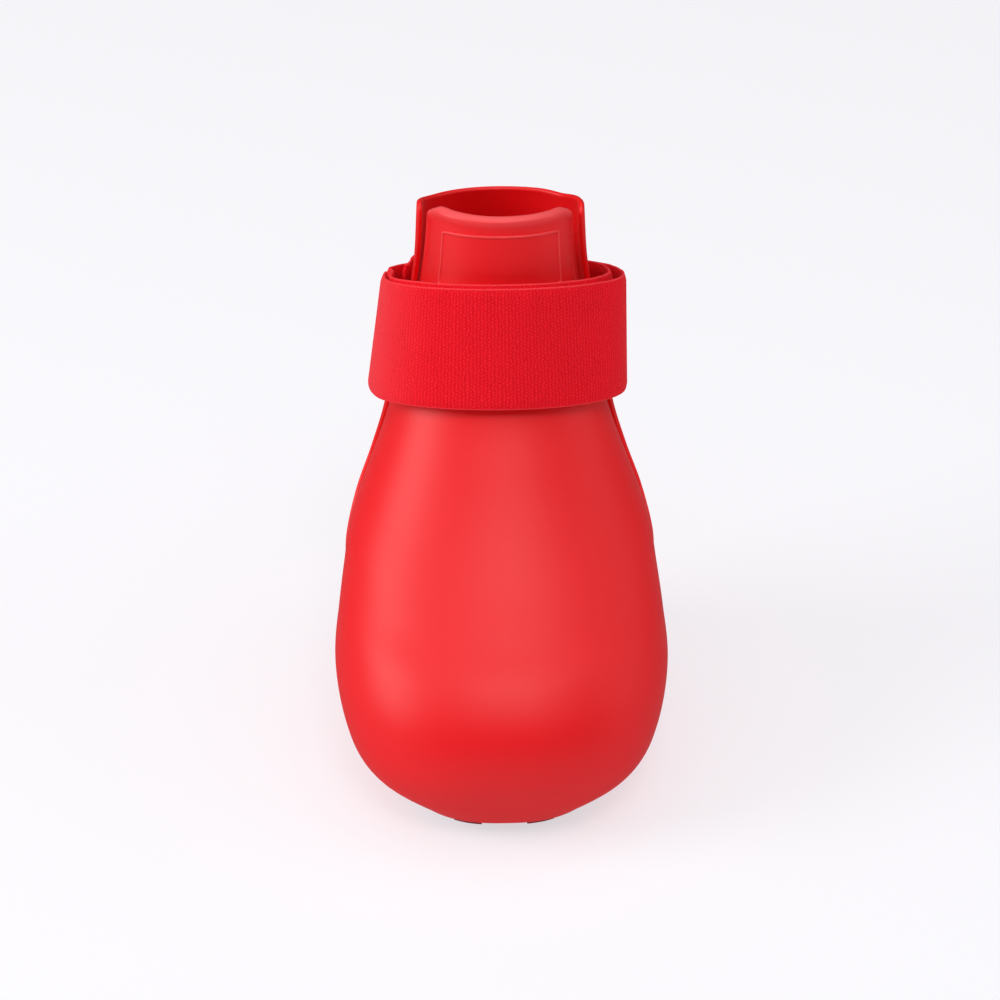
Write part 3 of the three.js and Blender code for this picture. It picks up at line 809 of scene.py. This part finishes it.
# %% The winding
STRAP_THICK = 1.1
SELVEDGE_R = 0.28     # radius of its edges
STRAP_TILT = math.radians(18)
STRAP_FRONT = np.array([0, 1.2 - MIDDLE_Y, 75.8])    # the band's lower edge at the front
STRAP_DEPTH_BOTTOM = 45.9   # front to back of the outer turn, at the lower edge
STRAP_DEPTH_TOP = 37.9      # and at the upper edge
STRAP_WIDEST = 0.45         # the oval's widest place and its bluntness
STRAP_BLUNT_FRONT = 2.05
STRAP_BLUNT_BACK = 2.45
WINDING = np.array([     # angle, half width at the top and at the bottom, inset
    [-100, 22.7, 26.2, 0],
    [0, 24.2, 25.9, 0],
    [90, 25.2, 25.7, 0],
    [180, 24.2, 25.8, 0],
    [243, 23.5, 26.1, 0.6],
    [260, 21.4, 24.85, 1.2],
    [360, 22.2, 24.4, 1.5],
    [450, 22.4, 24.45, 1.5],
    [540, 22.0, 24.3, 1.55],
    [612, 19.3, 23.3, 1.7],
])
TAIL_START = 566         # the band's inner end climbs from here, in degrees
TAIL_TORN = 598          # its upper edge is ragged up to here, and then it falls to the cut
TAIL_RISE = 1.3          # mm
TAIL_FALL = 1.3
INNER_TURNS = (262, 315) # the inner turn climbs between these angles
INNER_RISE = 0.6         # and then stands this much above the outer one
END_TURNS = (-62, -90)   # the free end's lower corner is drawn up between these angles
END_RISE = 0.9           # by this


def winding(degrees):
    """Each column of the table at an angle, with a smooth step from row to row."""
    k = np.clip(np.searchsorted(WINDING[:, 0], degrees, side="left") - 1, 0, len(WINDING) - 2)
    t = smooth(WINDING[k, 0], WINDING[k + 1, 0], degrees)[..., None]
    return np.moveaxis(WINDING[k, 1:] * (1 - t) + WINDING[k + 1, 1:] * t, -1, 0)


def strap_point(degrees, across, out):
    """Side = (half width + out) times the oval's side. Depth from the band's front plane = the
    oval's share of the winding's depth. Height = the way across the band, along its own slope."""
    half_top, half_bottom, inset = winding(degrees)
    half = half_bottom + (half_top - half_bottom) * across
    depth = STRAP_DEPTH_BOTTOM + (STRAP_DEPTH_TOP - STRAP_DEPTH_BOTTOM) * across
    side, share = oval(np.radians(degrees), STRAP_WIDEST, STRAP_BLUNT_FRONT, STRAP_BLUNT_BACK)
    front = inset - out
    back = depth - inset + out
    deep = STRAP_THICK / 2 + front + (back - front) * share
    up = across * BAND_MM
    sine, cosine = np.sin(STRAP_TILT), np.cos(STRAP_TILT)
    points = [(half + out) * side, up * sine + deep * cosine, up * cosine - deep * sine]
    return np.stack(points, axis=-1) + STRAP_FRONT


def band_section(count):
    """A bar with round edges, walked once round: millimetres across and out from its middle. It
    is thinner at the selvedges, where there are no loops."""
    straight = np.linspace(SELVEDGE_R, BAND_MM - SELVEDGE_R, count)
    pile = STRAP_THICK / 2 - SELVEDGE_R
    level = SELVEDGE_R + pile * smooth(0, 1.4, straight) * smooth(0, 1.4, BAND_MM - straight)
    turn = np.linspace(0, np.pi, 7)[1:-1]
    across = np.concatenate([straight, BAND_MM - SELVEDGE_R * (1 - np.sin(turn)),
                             straight[::-1], SELVEDGE_R * (1 - np.sin(turn))])
    out = np.concatenate([level, SELVEDGE_R * np.cos(turn), -level[::-1],
                          -SELVEDGE_R * np.cos(turn)])
    return np.append(across, across[0]), np.append(out, out[0])


across_mm, out_mm = band_section(44)
degrees = np.linspace(WINDING[0, 0], WINDING[-1, 0], 760)
middle_line = strap_point(degrees, np.full_like(degrees, 0.5), np.zeros_like(degrees))
along_mm = np.append(0, np.cumsum(np.linalg.norm(np.diff(middle_line, axis=0), axis=-1)))
print("length of the strap in mm:", round(along_mm[-1]))

# %% The strap's mesh
turns, acrosses = np.broadcast_arrays(degrees[:, None], across_mm[None, :])
climbing = TAIL_RISE * smooth(TAIL_START, TAIL_START + 30, turns)
climbing = climbing + INNER_RISE * smooth(*INNER_TURNS, turns)
falling = TAIL_FALL * smooth(TAIL_TORN, WINDING[-1, 0], turns)
ragged = 0.3 * np.sin(2 * np.pi * along_mm[:, None] / 1.1) + 0.2 * np.sin(along_mm[:, None] / 0.61)
ragged = ragged * smooth(TAIL_START + 20, TAIL_TORN, turns)
top_share = (acrosses / BAND_MM) ** 4
drawn_up = END_RISE * smooth(*END_TURNS, turns) * (1 - acrosses / BAND_MM) ** 3
lifted = acrosses + (climbing - falling + ragged) * top_share + drawn_up
ripple = 0.06 * np.sin(along_mm[:, None] / 1.7) + 0.05 * np.sin(along_mm[:, None] / 0.73 + 1)
band = strap_point(turns, lifted / BAND_MM, out_mm[None, :] + ripple * top_share)
band_rows, band_columns = band.shape[:2]
ends = [band[0, :-1].mean(axis=0), band[-1, :-1].mean(axis=0)]
band_faces = grid_faces(band_rows, band_columns).tolist() + fans(band_rows, band_columns)
strap = new_piece("loop_strap", np.concatenate([band.reshape(-1, 3), ends]),
                  np.array(band_faces, dtype=object), loop_webbing, ["strap"])
weave = np.stack(np.broadcast_arrays(along_mm[:, None], acrosses, 0.0), axis=-1).reshape(-1, 3)
give_attribute(strap, "weave", np.concatenate([weave, weave[[0, -1]]]))
close_seams(strap)

# %% [markdown]
# ## The table, the light and the camera
#
# The boot stands on a plain white surface that is large enough to fill the view. The surface
# glows a little, as a light table does, so it stays white right up to the boot, and glossy
# reflections don't see it. Four soft boxes make the modelling: a very large one overhead leaves
# only soft shadows, one at each side puts the broad pale band on that flank, and a small one
# high in front lifts the toe. The sky is faint and only keeps the shadows from going black.

# %% Floor and world
FLOOR_SIZE = 6000    # mm
half = FLOOR_SIZE / 2
corners = np.array([[-half, -half, 0], [half, -half, 0], [half, half, 0], [-half, half, 0]])
floor_mesh = bpy.data.meshes.new("floor")
floor_mesh.from_pydata((corners * MM).tolist(), [], [[0, 1, 2, 3]])
floor = bpy.data.objects.new("floor", floor_mesh)
bpy.context.scene.collection.objects.link(floor)
floor.visible_glossy = False     # its mirror image would grey the boot's underside
paper, paper_tree, paper_shader = new_material("opal acrylic, lit from below")
paper_shader.inputs["Base Color"].default_value = linear("#a0a0a2")
paper_shader.inputs["Roughness"].default_value = 0.9
paper_shader.inputs["Emission Color"].default_value = linear("#f8f7fb")
paper_shader.inputs["Emission Strength"].default_value = 0.67
floor_mesh.materials.append(paper)

world = bpy.data.worlds.new("bright studio")
bpy.context.scene.world = world
world.use_nodes = True
world.node_tree.nodes["Background"].inputs["Color"].default_value = linear("#fbfbff")
world.node_tree.nodes["Background"].inputs["Strength"].default_value = 0.08
bpy.context.scene.view_settings.view_transform = "Standard"
print("floor:", FLOOR_SIZE, "mm square")

# %% Soft boxes


def soft_box(name, place, size, watts):
    """A square white area light, placed and sized in mm, turned to face the boot's middle."""
    data = bpy.data.lights.new(name, "AREA")
    data.size = size * MM
    data.energy = watts
    light = bpy.data.objects.new(name, data)
    light.location = Vector(place) * MM
    aim = Vector((0, 0, boot_height / 2)) - light.location
    light.rotation_euler = aim.to_track_quat("-Z", "Y").to_euler()
    bpy.context.scene.collection.objects.link(light)


soft_box("left", (-1090, -190, 640), 640, 8.0)
soft_box("front", (85, -690, 1100), 380, 3.2)
soft_box("right", (1130, -100, 580), 900, 2.4)
soft_box("top", (0, -200, 2000), 3000, 27.0)

# %% Camera
ELEVATION = math.radians(32)
AZIMUTH = math.radians(-1.3)
DISTANCE = 0.6       # metres
NUDGE = Vector((-0.0001, -0.0003, 0.0004))    # from the box's middle to the view's, in metres
aim = (Vector(cad_low) + Vector(cad_high)) / 2 + NUDGE
back = Vector((math.sin(AZIMUTH) * math.cos(ELEVATION),
               -math.cos(AZIMUTH) * math.cos(ELEVATION), math.sin(ELEVATION)))
camera_data = bpy.data.cameras.new("camera")
camera_data.lens = 108
camera_data.sensor_width = 36
camera = bpy.data.objects.new("camera", camera_data)
camera.location = aim + back * DISTANCE
camera.rotation_euler = (-back).to_track_quat("-Z", "Y").to_euler()
bpy.context.scene.collection.objects.link(camera)
bpy.context.scene.camera = camera
print("camera at", [round(v, 3) for v in camera.location])

# %% The end
bpy.context.view_layer.update()
